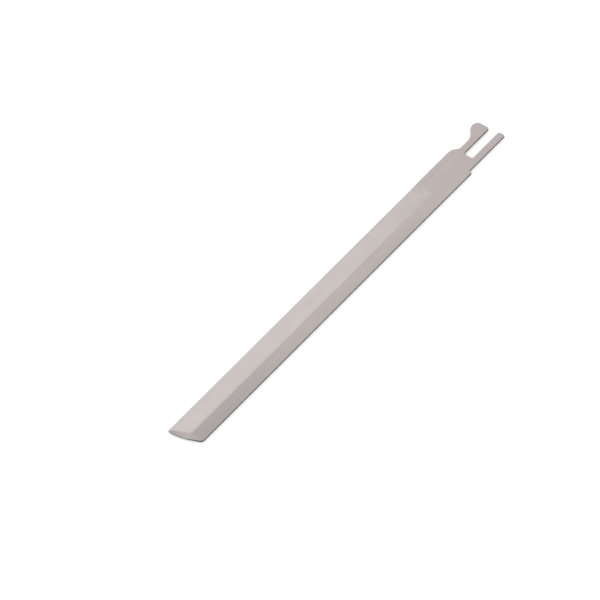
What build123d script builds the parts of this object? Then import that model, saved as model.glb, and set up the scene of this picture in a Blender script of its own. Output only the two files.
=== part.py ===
from build123d import *
import math
import os

# Straight cutter blade for a hand-guided cloth-cutting machine, millimetres.
# The blade lies flat: +X runs from the ground end to the forked tang, +Y to the cutting edge, +Z up.
# It is one strip of tool steel: punched to outline, then ground along one edge and at the free end.

# Strip
blade_length = 320.4
blade_width = 22.0            # spine to cutting edge
blade_thickness = 1.2

# Ground bevel along the cutting edge, alike on both faces
bevel_length = 254.0          # free end to the last trace of grinding
bevel_width = 12.7
edge_thickness = 0.2          # left at the foot of the bevels
wheel_radius = 75.0           # grinding wheel: the bevel's run-out and the hollow of the end facets

# Free end: square next to the cutting edge, then curving into a slant back to the spine.
# Both faces are hollow-ground there to a thin end edge.
end_square_width = 8.4
end_slant_angle = 25.2
end_facet_length = 6.8
edge_corner_radius = 0.8
knee_radius = 33.0
spine_corner_radius = 3.0

# Tang, where the spine is stepped in
tang_length = 38.1
tang_step = 2.0
step_root_radius = 0.8
step_corner_radius = 0.6

# Fork: an open slot between a plain prong at the spine and a hooked prong at the edge
slot_width = 6.9
slot_depth = 28.4
slot_root_radius = 1.5
mouth_radius = 1.5
spine_prong_width = 4.7
spine_prong_radius = 1.0

# Hooked prong
hook_setback = 1.2            # how far it ends short of the plain prong
neck_width = 4.4
hook_reach = 1.65             # how far the hook stands out past the cutting edge
hook_length = 6.6
hook_flank_angle = 41.0
hook_nose_radius = 4.0
hook_heel_radius = 7.0
neck_top_radius = 11.0
shoulder_depth = 31.0         # top of the tang to the shoulder's corner
shoulder_angle = 42.0
neck_root_radius = 4.0
shoulder_radius = 7.5

# Chamfer on the punched rims
rim_break = 0.12

# Places worked out from the sizes above
end_x = -blade_length / 2
top_x = blade_length / 2
hook_top_x = top_x - hook_setback
spine_y = -(blade_width + hook_reach) / 2
edge_y = spine_y + blade_width
hook_y = edge_y + hook_reach
ridge_y = edge_y - bevel_width
tang_spine_y = spine_y + tang_step
slot_spine_side_y = tang_spine_y + spine_prong_width
slot_hook_side_y = slot_spine_side_y + slot_width
neck_y = slot_hook_side_y + neck_width
mid_z = blade_thickness / 2
bevel_drop = (blade_thickness - edge_thickness) / 2
cutter_margin = 5.0


def tan(degrees):
    return math.tan(math.radians(degrees))


def within(radius, room, turn=90.0):
    """A corner radius, held to the room along the shorter side beside the corner."""
    return min(radius, 0.98 * room / tan(turn / 2))


def free_end_corners():
    """The ground end, from the cutting edge round to the spine, as (x, y, radius)."""
    slant_width = blade_width - end_square_width
    edge_radius = within(edge_corner_radius, end_square_width / 2)
    spine_radius = within(spine_corner_radius, slant_width / 2, 90 - end_slant_angle)
    knee_room = min(end_square_width - edge_radius, slant_width - spine_radius)
    return [
        (end_x, edge_y, edge_radius),
        (end_x, edge_y - end_square_width, within(knee_radius, knee_room, end_slant_angle)),
        (end_x + slant_width * tan(end_slant_angle), spine_y, spine_radius),
    ]


def spine_step_corners():
    """The step that makes the tang narrower than the body."""
    step_x = top_x - tang_length
    return [
        (step_x, spine_y, within(step_corner_radius, tang_step / 2)),
        (step_x, tang_spine_y, within(step_root_radius, tang_step / 2)),
    ]


def fork_corners():
    """The plain prong and the open slot beside it, up to the slot's far lip."""
    slot_root_x = top_x - slot_depth
    root_radius = within(slot_root_radius, slot_width / 2)
    return [
        (top_x, tang_spine_y, within(spine_prong_radius, spine_prong_width / 2)),
        (top_x, slot_spine_side_y, within(mouth_radius, spine_prong_width / 2)),
        (slot_root_x, slot_spine_side_y, root_radius),
        (slot_root_x, slot_hook_side_y, root_radius),
        (hook_top_x, slot_hook_side_y, within(mouth_radius, neck_width / 2)),
    ]


def hook_corners():
    """The hooked prong: nose, heel, waisted neck, and the shoulder back out to the edge."""
    heel_x = hook_top_x - hook_length
    flank_run = (hook_y - neck_y) / tan(hook_flank_angle)
    flank_room = math.hypot(flank_run, hook_y - neck_y) / 2
    neck_top_x = heel_x - flank_run
    shoulder_x = top_x - shoulder_depth
    shoulder_run = (edge_y - neck_y) / tan(shoulder_angle)
    shoulder_room = math.hypot(shoulder_run, edge_y - neck_y) / 2
    neck_root_x = shoulder_x + shoulder_run
    neck_room = (neck_top_x - neck_root_x) / 2
    heel_room = min(0.4 * hook_length, flank_room)
    return [
        (hook_top_x, hook_y, within(hook_nose_radius, 0.6 * hook_length)),
        (heel_x, hook_y, within(hook_heel_radius, heel_room, hook_flank_angle)),
        (neck_top_x, neck_y, within(neck_top_radius, min(flank_room, neck_room), hook_flank_angle)),
        (neck_root_x, neck_y, within(neck_root_radius, min(shoulder_room, neck_room), shoulder_angle)),
        (shoulder_x, edge_y, within(shoulder_radius, shoulder_room, shoulder_angle)),
    ]


def punched_blank():
    corners = free_end_corners() + spine_step_corners() + fork_corners() + hook_corners()
    points = [(x, y) for x, y, radius in corners]
    radii = [radius for x, y, radius in corners]
    outline = FilletPolyline(*points, radius=radii, close=True)
    return extrude(make_face(outline), amount=blade_thickness)


def bevel_cutter():
    """What the grinding wheel sweeps away above the bevel, with its run-out at the tang end."""
    slope = math.atan2(bevel_drop, bevel_width)
    run_out = math.sqrt(2 * wheel_radius * bevel_drop)
    height = cutter_margin
    turn = math.degrees(math.acos(1 - height / wheel_radius))
    along_slope = Plane(
        origin=(end_x, ridge_y, blade_thickness),
        x_dir=(1, 0, 0),
        z_dir=(0, -math.cos(slope), math.sin(slope)),
    )
    floor = Line((-cutter_margin, 0), (bevel_length - run_out, 0))
    wheel = JernArc(floor @ 1, (1, 0), wheel_radius, turn)
    lid = Polyline(wheel @ 1, (-cutter_margin, height), floor @ 0)
    side_view = make_face(Curve() + [floor, wheel, lid])
    return extrude(along_slope * side_view, amount=-(bevel_width + cutter_margin))


def end_facet_cutter():
    """What the wheel takes away above the hollow facet at the free end."""
    foot = (end_x, blade_thickness - bevel_drop)
    crest = (end_x + end_facet_length, blade_thickness)
    high_z = blade_thickness + cutter_margin
    low_x = end_x - cutter_margin
    hollow = RadiusArc(foot, crest, -wheel_radius)
    rest = Polyline(crest, (crest[0], high_z), (low_x, high_z), (low_x, foot[1]), foot)
    side_view = Plane.XZ * make_face(Curve() + [hollow, rest])
    return extrude(side_view, amount=blade_width + hook_reach, both=True)


def grind_both_faces(solid, cutter):
    other_face = mirror(cutter, about=Plane.XY.offset(mid_z))
    return solid - cutter - other_face


def break_rims(blank):
    """A light chamfer round both faces, as tumbling leaves. Grinding then takes it off where it cuts."""
    faces = blank.faces().sort_by(Axis.Z)
    return chamfer(faces[0].edges() + faces[-1].edges(), length=rim_break)


blade = break_rims(punched_blank())
blade = grind_both_faces(blade, bevel_cutter())
blade = grind_both_faces(blade, end_facet_cutter())

os.makedirs("parts", exist_ok=True)
export_step(blade, "parts/blade.step")
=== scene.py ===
import math

import bpy
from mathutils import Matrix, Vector


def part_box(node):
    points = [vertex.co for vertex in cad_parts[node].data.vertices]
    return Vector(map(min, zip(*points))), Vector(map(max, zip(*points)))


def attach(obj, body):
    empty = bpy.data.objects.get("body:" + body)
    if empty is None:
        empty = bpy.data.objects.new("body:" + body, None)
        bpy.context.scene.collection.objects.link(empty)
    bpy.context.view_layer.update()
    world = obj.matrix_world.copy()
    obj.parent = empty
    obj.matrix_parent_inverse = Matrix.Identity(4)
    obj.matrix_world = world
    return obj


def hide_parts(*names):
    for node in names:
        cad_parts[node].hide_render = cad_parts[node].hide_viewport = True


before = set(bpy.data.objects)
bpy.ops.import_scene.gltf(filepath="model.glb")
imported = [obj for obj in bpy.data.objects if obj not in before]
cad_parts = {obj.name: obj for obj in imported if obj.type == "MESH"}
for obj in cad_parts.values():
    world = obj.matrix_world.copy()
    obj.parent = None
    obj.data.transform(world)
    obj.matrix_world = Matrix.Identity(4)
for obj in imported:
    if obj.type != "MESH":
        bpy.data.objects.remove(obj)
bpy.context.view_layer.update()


# The punched blank.
# A strip of tool steel is punched to outline in one stroke: slanted end, stepped spine, open slot
# and hooked prong. Tumbling then leaves a light round on both rims.
# Lengths are in millimetres until the blade is ground.
millimetre = 0.001
low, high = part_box("blade")
end_x, top_x = low.x / millimetre, high.x / millimetre
spine_y, hook_y = low.y / millimetre, high.y / millimetre
thickness = high.z / millimetre
half_thickness = thickness / 2

hook_reach = 1.65
end_square_width = 8.4
end_slant = math.radians(25.2)
tang_length = 38.1
tang_step = 2.0
spine_prong_width = 4.7
slot_width = 6.9
slot_depth = 28.4
neck_width = 4.4
hook_setback = 1.2
hook_length = 6.6
hook_flank = math.radians(41.0)
shoulder_depth = 31.0
shoulder_flank = math.radians(42.0)
arc_step = math.radians(3.0)
rim_round = 0.12
rim_segments = 3
nearby = 0.001                 # how far off a place may be when a point is selected by it

edge_y = hook_y - hook_reach
slant_x = end_x + (edge_y - end_square_width - spine_y) * math.tan(end_slant)
step_x = top_x - tang_length
tang_spine_y = spine_y + tang_step
slot_spine_side_y = tang_spine_y + spine_prong_width
slot_hook_side_y = slot_spine_side_y + slot_width
slot_root_x = top_x - slot_depth
neck_y = slot_hook_side_y + neck_width
hook_top_x = top_x - hook_setback
heel_x = hook_top_x - hook_length
neck_top_x = heel_x - (hook_y - neck_y) / math.tan(hook_flank)
shoulder_x = top_x - shoulder_depth
neck_root_x = shoulder_x + (edge_y - neck_y) / math.tan(shoulder_flank)

corners = [                    # x, y and radius, from the cutting edge round by spine and fork
    (end_x, edge_y, 0.8),
    (end_x, edge_y - end_square_width, 33.0),
    (slant_x, spine_y, 3.0),
    (step_x, spine_y, 0.6),
    (step_x, tang_spine_y, 0.8),
    (top_x, tang_spine_y, 1.0),
    (top_x, slot_spine_side_y, 1.5),
    (slot_root_x, slot_spine_side_y, 1.5),
    (slot_root_x, slot_hook_side_y, 1.5),
    (hook_top_x, slot_hook_side_y, 1.5),
    (hook_top_x, hook_y, 3.88),
    (heel_x, hook_y, 6.92),
    (neck_top_x, neck_y, 11.0),
    (neck_root_x, neck_y, 4.0),
    (shoulder_x, edge_y, 7.5),
]


def take(piece):
    """Makes a piece the only one that is selected, and the active one."""
    bpy.ops.object.select_all(action="DESELECT")
    piece.select_set(True)
    bpy.context.view_layer.objects.active = piece


def pick(piece, kind, wanted):
    """Selects the points, edges or faces that wanted() is true of, and goes into edit mode."""
    take(piece)
    bpy.ops.object.mode_set(mode="EDIT")
    bpy.ops.mesh.select_all(action="DESELECT")
    bpy.ops.object.mode_set(mode="OBJECT")
    mesh = piece.data
    for part in {"VERT": mesh.vertices, "EDGE": mesh.edges, "FACE": mesh.polygons}[kind]:
        part.select = wanted(part)
    bpy.ops.object.mode_set(mode="EDIT")
    bpy.ops.mesh.select_mode(type=kind)


def leave_edit():
    bpy.ops.object.mode_set(mode="OBJECT")


bpy.ops.object.select_all(action="DESELECT")
bpy.ops.mesh.primitive_plane_add(size=1.0)
blade = bpy.context.object
blade.name = "ground_blade"
places = [Vector((corner_x, corner_y)) for corner_x, corner_y, radius in corners]
bpy.ops.object.mode_set(mode="EDIT")
bpy.ops.mesh.merge(type="CENTER")
bpy.ops.transform.translate(value=places[0].to_3d())
for start, stop in zip(places, places[1:]):
    bpy.ops.mesh.extrude_region_move(TRANSFORM_OT_translate={"value": (stop - start).to_3d()})
bpy.ops.mesh.select_all(action="SELECT")
bpy.ops.mesh.edge_face_add()
leave_edit()

for number, (corner_x, corner_y, radius) in enumerate(corners):
    here = places[number]
    arriving = here - places[number - 1]
    leaving = places[(number + 1) % len(places)] - here
    turn = arriving.angle(leaving)
    arc_profile = (1 - math.tan(turn / 4) / (2 * math.sin(turn / 2))) ** 2    # a true arc
    pick(blade, "VERT", lambda point: (point.co.xy - here).length < nearby)
    bpy.ops.mesh.bevel(
        offset=radius * math.tan(turn / 2),
        segments=math.ceil(turn / arc_step),
        profile=arc_profile,
        affect="VERTICES",
    )
    leave_edit()

pick(blade, "FACE", lambda face: True)
bpy.ops.mesh.extrude_region_move(TRANSFORM_OT_translate={"value": (0.0, 0.0, half_thickness)})
bpy.ops.mesh.select_all(action="SELECT")
bpy.ops.mesh.normals_make_consistent(inside=False)
leave_edit()


def on_upper_rim(edge):
    ends = [blade.data.vertices[v].co for v in edge.vertices]
    return all(abs(end.z - half_thickness) < nearby for end in ends)


pick(blade, "EDGE", on_upper_rim)
bpy.ops.mesh.bevel(offset=rim_round, segments=rim_segments, affect="EDGES", clamp_overlap=False)
leave_edit()


# The grinding.
# A wheel takes a wide bevel off each face along the cutting edge, and leaves in an arc before the
# tang. Crossways it hollows a facet at the free end. The upper half is ground and then mirrored.
bevel_length = 254.0
bevel_width = 12.7
edge_thickness = 0.2           # what the bevels and the facets leave
wheel_radius = 75.0
wheel_segments = 240
facet_length = 6.8
facet_segments = 720
overshoot = 5.0                # how far the wheel's path stands past the steel
end_wheel_width = 3 * (hook_y - spine_y)

ridge_y = edge_y - bevel_width
bevel_drop = half_thickness - edge_thickness / 2
bevel_slope = math.atan2(bevel_drop, bevel_width)
run_out = math.sqrt(2 * wheel_radius * bevel_drop)


def grind(piece, cutter):
    take(piece)
    cut = piece.modifiers.new("grind", "BOOLEAN")
    cut.operation = "DIFFERENCE"
    cut.solver = "EXACT"
    cut.object = cutter
    bpy.ops.object.modifier_apply(modifier=cut.name)
    bpy.data.objects.remove(cutter)


swept_low = Vector((-overshoot, 0.0, 0.0))
swept_high = Vector((
    bevel_length - run_out + wheel_radius,
    bevel_width + overshoot,
    wheel_radius + overshoot,
))
bpy.ops.object.select_all(action="DESELECT")
bpy.ops.mesh.primitive_cube_add(
    size=1.0,
    location=(swept_low + swept_high) / 2,
    scale=swept_high - swept_low,
)
wheel_path = bpy.context.object
bpy.ops.object.transform_apply(location=True, rotation=True, scale=True)


def at_far_foot(edge):
    ends = [wheel_path.data.vertices[v].co for v in edge.vertices]
    return all(abs(end.x - swept_high.x) < nearby and abs(end.z) < nearby for end in ends)


pick(wheel_path, "EDGE", at_far_foot)
bpy.ops.mesh.bevel(
    offset=wheel_radius,
    segments=wheel_segments,
    affect="EDGES",
    clamp_overlap=False,
)
leave_edit()
wheel_path.location = (end_x, ridge_y, half_thickness)
wheel_path.rotation_euler.x = -bevel_slope
bpy.context.view_layer.update()
grind(blade, wheel_path)

foot = Vector((end_x, 0.0, edge_thickness / 2))
chord = Vector((facet_length, 0.0, bevel_drop))
rise = Vector((-chord.z, 0.0, chord.x)).normalized()
rise *= math.sqrt(wheel_radius ** 2 - (chord.length / 2) ** 2)
bpy.ops.object.select_all(action="DESELECT")
bpy.ops.mesh.primitive_cylinder_add(
    vertices=facet_segments,
    radius=wheel_radius,
    depth=end_wheel_width,
    location=foot + chord / 2 + rise,
    rotation=(math.pi / 2, 0.0, 0.0),
)
end_wheel = bpy.context.object
grind(blade, end_wheel)

pick(blade, "FACE", lambda face: face.center.z < nearby)
bpy.ops.mesh.delete(type="FACE")
leave_edit()
other_half = blade.modifiers.new("other_half", "MIRROR")
other_half.use_axis = (False, False, True)
other_half.merge_threshold = nearby
bpy.ops.object.modifier_apply(modifier=other_half.name)
blade.location.z = half_thickness * millimetre
blade.scale = (millimetre,) * 3
bpy.ops.object.transform_apply(location=True, rotation=True, scale=True)


# The finish of the steel.
# The steel is bare. Fine lines run along the flats, from rolling, and across the bevels, from the
# wheel. The punched walls are dark from hardening, torn below and burnished by the die above, and
# painted shade darkens them further.
smooth_below = math.radians(32.0)   # rims and arcs shade as rounds
broad_tilt = math.radians(8.0)      # flats, bevels and facets all lean less than this
plane_tilt = bevel_slope + math.radians(0.01)


def tilt(face):
    return math.acos(min(1.0, abs(face.normal.z)))


bpy.ops.object.shade_smooth_by_angle(angle=smooth_below)
pick(blade, "FACE", lambda face: tilt(face) < broad_tilt)
bpy.ops.mesh.region_to_loop()
bpy.ops.mesh.mark_sharp()
leave_edit()
pick(blade, "FACE", lambda face: tilt(face) < plane_tilt)
bpy.ops.mesh.faces_shade_flat()
leave_edit()


class Value:
    """One socket of a material. Sums on it add Math nodes, and node() adds any other kind."""

    def __init__(self, tree, socket=None):
        self.tree = tree
        self.socket = socket

    def node(self, kind, settings=(), inputs=(), output=0):
        made = self.tree.nodes.new(kind)
        for name, setting in dict(settings).items():
            setattr(made, name, setting)
        for name, value in dict(inputs).items():
            if isinstance(value, Value):
                self.tree.links.new(value.socket, made.inputs[name])
            else:
                made.inputs[name].default_value = value
        return Value(self.tree, made.outputs[output])

    def math(self, operation, *values, clamp=False):
        settings = {"operation": operation, "use_clamp": clamp}
        return self.node("ShaderNodeMath", settings, enumerate(values))

    def __add__(self, other):
        return self.math("ADD", self, other)

    def __sub__(self, other):
        return self.math("SUBTRACT", self, other)

    def __rsub__(self, other):
        return self.math("SUBTRACT", other, self)

    def __mul__(self, other):
        return self.math("MULTIPLY", self, other)

    def __truediv__(self, other):
        return self.math("DIVIDE", self, other)

    __radd__ = __add__
    __rmul__ = __mul__

    def absolute(self):
        return self.math("ABSOLUTE", self)

    def root(self):
        return self.math("SQRT", self)

    def ramp(self, start, end):
        """Goes from 0 to 1 as this value goes from start to end, and stays there."""
        return self.math("DIVIDE", self - start, end - start, clamp=True)

    def along(self, axis):
        """The X, Y or Z part of a vector."""
        return self.node("ShaderNodeSeparateXYZ", inputs={0: self}, output=axis)

    def mixed(self, first, second):
        """Goes from the first colour to the second as this value goes from 0 to 1."""
        settings = {"data_type": "RGBA", "clamp_factor": True}
        return self.node("ShaderNodeMix", settings, {0: self, 6: first, 7: second}, 2)


bevel_colour_and_highlight = (0.460, 0.426, 0.413, 1.0)      # fresh from the wheel, and lighter by a painted highlight
facet_colour = (0.408, 0.373, 0.366, 1.0)
flat_colour = (0.376, 0.337, 0.328, 1.0)       # as rolled and tumbled
dull_colour = (0.328, 0.294, 0.288, 1.0)       # the flat towards the free end
torn_wall_and_shade_colour = (0.030, 0.026, 0.024, 1.0)       # punched walls, near-black partly from painted shade
burnished_band_and_shade_colour = (0.064, 0.056, 0.053, 1.0)  # their upper band, also darkened by painted shade

steel = bpy.data.materials.new("ground_steel")
steel.use_nodes = True
tree = steel.node_tree
shader = tree.nodes["Principled BSDF"]
place = Value(tree).node("ShaderNodeTexCoord", output="Object")
x, y, z = (place.along(axis) / millimetre for axis in "XYZ")
normal_z = Value(tree).node("ShaderNodeTexCoord", output="Normal").along("Z")


def noise(per_mm):
    """Noise about 0 with its own number of features to a millimetre along X, Y and Z."""
    parts = {0: x * per_mm[0], 1: y * per_mm[1], 2: z * per_mm[2]}
    stretched = x.node("ShaderNodeCombineXYZ", inputs=parts)
    return x.node("ShaderNodeTexNoise", inputs={"Vector": stretched, "Scale": 1.0}) - 0.5


cloud = noise((0.025, 0.06, 3.0))        # slow unevenness of tone
rolling = noise((0.012, 1.6, 3.0))       # lines along the strip
wheel_marks = noise((1.5, 0.10, 3.0))    # lines across it, left by the wheel
shear = noise((2.0, 2.0, 0.2))           # upright lines down the punched walls
wander = noise((0.05, 0.0, 0.0))         # the ridge isn't quite straight

ridge_shift = 0.05
ridge_wander = 0.5
ridge_softness = 2.0
run_out_softness = 6.0
fade_length = 220.0                      # the bevel grows duller over this, up to its run-out
fade_depth = 0.78
dwell_length = 6.0                       # a brighter patch where the wheel dwells and leaves
dwell_brightness = 0.38

depth = y - (ridge_y + ridge_shift) + wander * ridge_wander
bevel_end = end_x + bevel_length
inside_ridge = depth.ramp(-ridge_softness / 2, ridge_softness / 2)
before_end = x.ramp(bevel_end + run_out_softness / 2, bevel_end - run_out_softness / 2)
bevel = inside_ridge * before_end
faded = x.ramp(bevel_end - fade_length, bevel_end)
from_dwell = (x - (bevel_end - dwell_length / 2)).absolute()
dwell = from_dwell.ramp(dwell_length, 0) * dwell_brightness
# how far the bevel's colour, with its painted highlight, replaces the flat's
brightness = bevel * (1 - faded * faded * fade_depth + dwell)

facet_softness = 0.03
facet_fade_length = 20.0                 # its own tone weakens over this, away from the end
end_shade_length = 4.0                   # by the end its hollow is steepest, so painted shade darkens it there
end_shade = 0.20
corner_shade_start_y = -4.0              # towards the spine's corner painted shade darkens it too
corner_shade_full_y = -9.0
corner_shade = 0.14

from_end = x - end_x
hollow = from_end * (facet_length - from_end) / (2 * wheel_radius)
facet_height = from_end * (bevel_drop / facet_length) + edge_thickness / 2 - hollow
height = (z - half_thickness).absolute()
on_facet = (height - facet_height).ramp(-facet_softness, 0)
facet = on_facet * from_end.ramp(facet_fade_length, 0).root()
by_end = from_end.ramp(end_shade_length, 0) * end_shade
by_corner = y.ramp(corner_shade_start_y, corner_shade_full_y) * corner_shade
# facet_shade is painted shade: it darkens the facet's colour
facet_shade = (by_end + by_corner) * facet

wall_start = 0.82                        # the normal's Z where a rim's round begins to darken
wall_full = 0.62
land_width = 0.2                         # the cutting edge is honed, and so it is bright
land_softness = 0.1
land_end_softness = 1.0
burnish_low = 0.72
burnish_softness = 0.12
burnish_raggedness = 0.18

wall = normal_z.absolute().ramp(wall_start, wall_full)
land_foot = edge_y - land_width
on_land = y.ramp(land_foot - land_softness, land_foot)
land_end = x.ramp(bevel_end + land_end_softness / 2, bevel_end - land_end_softness / 2)
# skin marks the walls, whose dark colour is partly scale and partly painted shade
skin = wall * (1 - on_land * land_end)
burnish_height = z + shear * burnish_raggedness
half_burnish = burnish_softness / 2
burnished = burnish_height.ramp(burnish_low - half_burnish, burnish_low + half_burnish)

dull_length = 115.0                      # the flat is duller towards the free end
tang_dullness = 0.35                     # and a little on the tang
dullness = x.ramp(end_x + dull_length, end_x)
dullness += x.ramp(step_x, step_x + tang_length / 2) * tang_dullness
tone = brightness.mixed(dullness.mixed(flat_colour, dull_colour), bevel_colour_and_highlight)
tone = facet.mixed(tone, facet_colour)
tone = skin.mixed(tone, burnished.mixed(torn_wall_and_shade_colour, burnished_band_and_shade_colour))

grain_depth = 0.10
shear_depth = 0.6
lines = rolling * (1 - bevel) + wheel_marks * bevel
grain = (cloud + lines) * grain_depth + shear * skin * shear_depth
shading = 1 + grain - facet_shade
shown = tone.node("ShaderNodeVectorMath", {"operation": "MULTIPLY"}, {0: tone, 1: shading})

flat_roughness = 0.37
bevel_roughness = 0.33
torn_roughness = 0.59
burnished_roughness = 0.47
line_roughness = 0.14
cloud_roughness = 0.06
skin_roughness = torn_roughness + burnished * (burnished_roughness - torn_roughness)
roughness = flat_roughness + bevel * (bevel_roughness - flat_roughness)
roughness += skin * (skin_roughness - flat_roughness)
roughness += lines * line_roughness + cloud * cloud_roughness

shear_relief = 4.0
relief = lines + shear * skin * shear_relief
relief_inputs = {"Height": relief, "Strength": 0.35, "Distance": 0.008 * millimetre}
bump = relief.node("ShaderNodeBump", inputs=relief_inputs)

skin_cover = 0.75                        # how far the dark skin, with its painted shade, hides the metal
metal = 1 - skin * skin_cover

tree.links.new(shown.socket, shader.inputs["Base Color"])
tree.links.new(roughness.socket, shader.inputs["Roughness"])
tree.links.new(metal.socket, shader.inputs["Metallic"])
tree.links.new(bump.socket, shader.inputs["Normal"])
shader.inputs["Specular IOR Level"].default_value = 0.25
blade.data.materials.append(steel)
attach(blade, "root")
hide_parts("blade")


# The stage.
# A pale paper floor, an even white surround, and one large soft lamp low behind the edge.
# The bevels catch the lamp, and their colour carries a painted highlight too: both make them
# brighter than the flats.
floor_drop = 0.0001
bpy.ops.object.select_all(action="DESELECT")
bpy.ops.mesh.primitive_plane_add(size=12.0, location=(0.0, 0.0, -floor_drop))
floor = bpy.context.object
floor.name = "floor"
paper = bpy.data.materials.new("pale_floor")
paper.use_nodes = True
paper_shader = paper.node_tree.nodes["Principled BSDF"]
paper_shader.inputs["Base Color"].default_value = (0.93, 0.93, 0.93, 1.0)
paper_shader.inputs["Roughness"].default_value = 0.9
paper_shader.inputs["Specular IOR Level"].default_value = 0.1
floor.data.materials.append(paper)

world = bpy.data.worlds.new("studio")
bpy.context.scene.world = world
world.use_nodes = True
surround = world.node_tree.nodes["Background"]
surround.inputs["Color"].default_value = (1.0, 1.0, 1.0, 1.0)
surround.inputs["Strength"].default_value = 1.12
bpy.context.scene.view_settings.view_transform = "Standard"


def away(azimuth, elevation):
    """The direction from the blade to a lamp or the camera, given in degrees."""
    turn = math.radians(azimuth)
    rise = math.radians(elevation)
    level = math.cos(rise)
    return Vector((math.sin(turn) * level, -math.cos(turn) * level, math.sin(rise)))


def aim_back(thing, direction):
    thing.rotation_mode = "QUATERNION"
    thing.rotation_quaternion = (-direction).to_track_quat("-Z", "Y")


lamp_width = 2.6
lamp_height = 1.2
lamp_distance = 2.4
lamp_brightness = 2.0          # what a mirror would show of it
towards_lamp = away(140.0, 22.0)
bpy.ops.object.light_add(type="AREA", location=towards_lamp * lamp_distance)
lamp = bpy.context.object
lamp.name = "back"
aim_back(lamp, towards_lamp)
lamp.data.shape = "RECTANGLE"
lamp.data.size = lamp_width
lamp.data.size_y = lamp_height
lamp.data.energy = lamp_brightness * math.pi * lamp_width * lamp_height


# The camera.
# A long lens looks down on the blade from beyond its spine, with the ground end near and the tang
# far. It stands where the blade comes out at the picture's own scale.
picture_width = 600
picture_scale = 1603.2         # picture pixels to a metre at the aim point
camera_lens = 400.0
camera_sensor = 36.0
aim = Vector((-27.1, 10.5, 0.0)) * millimetre

camera_distance = camera_lens / camera_sensor * picture_width / picture_scale
towards_camera = away(-52.36, 50.0)
bpy.ops.object.camera_add(location=aim + towards_camera * camera_distance)
camera = bpy.context.object
camera.name = "camera"
aim_back(camera, towards_camera)
camera.data.lens = camera_lens
camera.data.sensor_width = camera_sensor
bpy.context.scene.camera = camera
